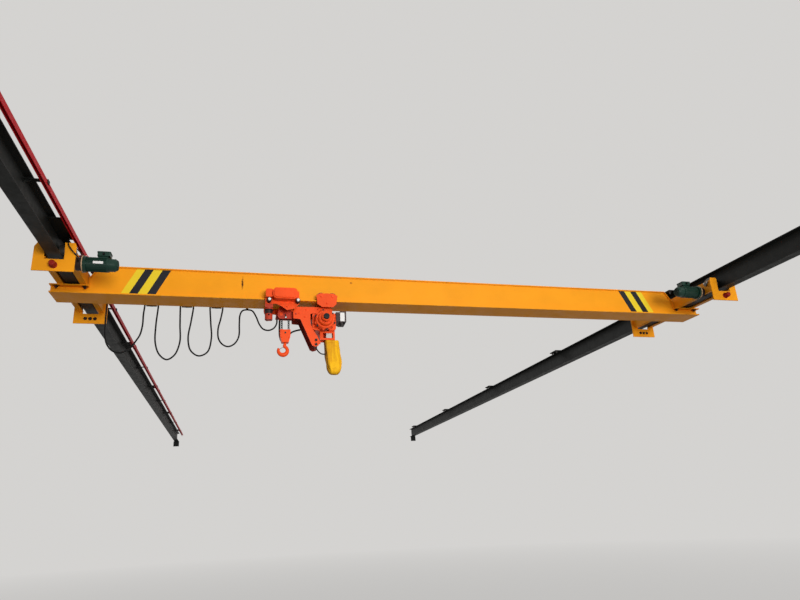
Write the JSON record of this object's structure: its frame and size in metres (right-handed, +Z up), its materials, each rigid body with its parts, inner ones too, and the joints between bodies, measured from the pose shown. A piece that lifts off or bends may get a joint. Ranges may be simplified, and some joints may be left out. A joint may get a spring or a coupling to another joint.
{
  "type": "overhead bridge crane",
  "caption": "Under-running bridge crane: box girder on end trucks below ceiling beams, with a low-headroom electric chain hoist on its bottom flange.",
  "frame": {"origin": "top face of the left runway's ceiling plate, on the runway's centre line, above the girder's middle line where the bridge stands at rest", "axes": "+X along the girder to the right runway, +Y along the runways away from the viewer, +Z up"},
  "size_m": [6.976, 15.2, 1.0441],
  "materials": {
    "runway_black": "satin, dusty",
    "bar_red": "satin",
    "collector_red": "matt",
    "girder_orange": "semi-gloss enamel",
    "wheel_steel": "turned, greased",
    "buffer_red": "matt",
    "stud_white": "satin",
    "reducer_pale": "satin",
    "motor_green": "semi-gloss",
    "line_steel": "galvanised",
    "carrier_black": "satin",
    "cable_black": "matt",
    "chain_dark": "oiled",
    "bag_amber": "coated cloth",
    "control_dark": "satin",
    "hoist_brown": "semi-gloss",
    "hoist_orange": "semi-gloss enamel"
  },
  "bodies": {
    "runways": {"runway_left": "runway_black", "runway_right": "runway_black", "ceiling_plates": "runway_black", "end_stops": "runway_black", "conductor_bar": "bar_red", "conductor_brackets": "runway_black"},
    "bridge": {"girder_front_web": "girder_orange", "girder_back_web": "girder_orange", "girder_bottom_flange": "girder_orange", "girder_top_plate": "girder_orange", "girder_saddles": "girder_orange", "girder_end_caps": "girder_orange", "left_truck_channels": "girder_orange", "right_truck_channels": "girder_orange", "truck_end_plates": "girder_orange", "truck_wheels": "wheel_steel", "truck_axles": "wheel_steel", "truck_buffers": "buffer_red", "drive_reducers": "reducer_pale", "left_drive_motor": "motor_green", "right_drive_motor": "motor_green", "terminal_boxes": "motor_green", "current_collector": "collector_red", "festoon_line": "line_steel", "festoon_cable": "cable_black"},
    "carrier_1": {"cable_carrier_1": "carrier_black"},
    "carrier_2": {"cable_carrier_2": "carrier_black"},
    "carrier_3": {"cable_carrier_3": "carrier_black"},
    "carrier_4": {"cable_clamp": "carrier_black"},
    "hook_block": {"hook_block": "hoist_orange", "block_sprocket": "wheel_steel"},
    "hook": {"hook": "hoist_orange"},
    "trolley": {"driven_trolley_plates": "hoist_orange", "plain_trolley_plates": "hoist_orange", "trolley_wheels": "wheel_steel", "trolley_pins": "wheel_steel", "trolley_drive": "hoist_orange", "travel_motor": "hoist_brown", "trolley_buffers": "stud_white", "sprocket_bracket": "hoist_brown", "idler_sprocket": "wheel_steel", "hoist_frame": "hoist_orange", "hoist_gear_cover": "hoist_orange", "hoist_motor": "hoist_orange", "control_box": "control_dark", "chain_guide": "hoist_brown", "hoist_cable": "cable_black", "bag_cord": "cable_black", "chain_run": "chain_dark", "chain_bag": "bag_amber", "chain_falls": "chain_dark"}
  },
  "joints": [
    {"name": "bridge_travel", "type": "slide", "parent": "runways", "child": "bridge", "axis": [0, 1, 0], "range_m": [-2.4, 10.9]},
    {"name": "trolley_travel", "type": "slide", "parent": "bridge", "child": "trolley", "axis": [1, 0, 0], "range_m": [-0.95, 3.5], "deforming": ["festoon_cable"]},
    {"name": "carrier_1_roll", "type": "slide", "parent": "bridge", "child": "carrier_1", "axis": [1, 0, 0], "range_m": [-0.235, 0.865]},
    {"name": "carrier_2_roll", "type": "slide", "parent": "bridge", "child": "carrier_2", "axis": [1, 0, 0], "range_m": [-0.427, 1.57]},
    {"name": "carrier_3_roll", "type": "slide", "parent": "bridge", "child": "carrier_3", "axis": [1, 0, 0], "range_m": [-0.591, 2.173]},
    {"name": "carrier_4_roll", "type": "slide", "parent": "bridge", "child": "carrier_4", "axis": [1, 0, 0], "range_m": [-0.765, 2.817]},
    {"name": "hook_lift", "type": "slide", "parent": "trolley", "child": "hook_block", "axis": [0, 0, 1], "range_m": [-2.8, 0.04], "deforming": ["chain_falls"]},
    {"name": "hook_swivel", "type": "hinge", "parent": "hook_block", "child": "hook", "pos_m": [1.931, 0, -0.72], "axis": [0, 0, 1], "continuous": true}
  ],
  "couplings": [
    {"joint": "carrier_1_roll", "follows": "trolley_travel", "ratio": 0.2468},
    {"joint": "carrier_2_roll", "follows": "trolley_travel", "ratio": 0.4483},
    {"joint": "carrier_3_roll", "follows": "trolley_travel", "ratio": 0.6207},
    {"joint": "carrier_4_roll", "follows": "trolley_travel", "ratio": 0.8046}
  ]
}
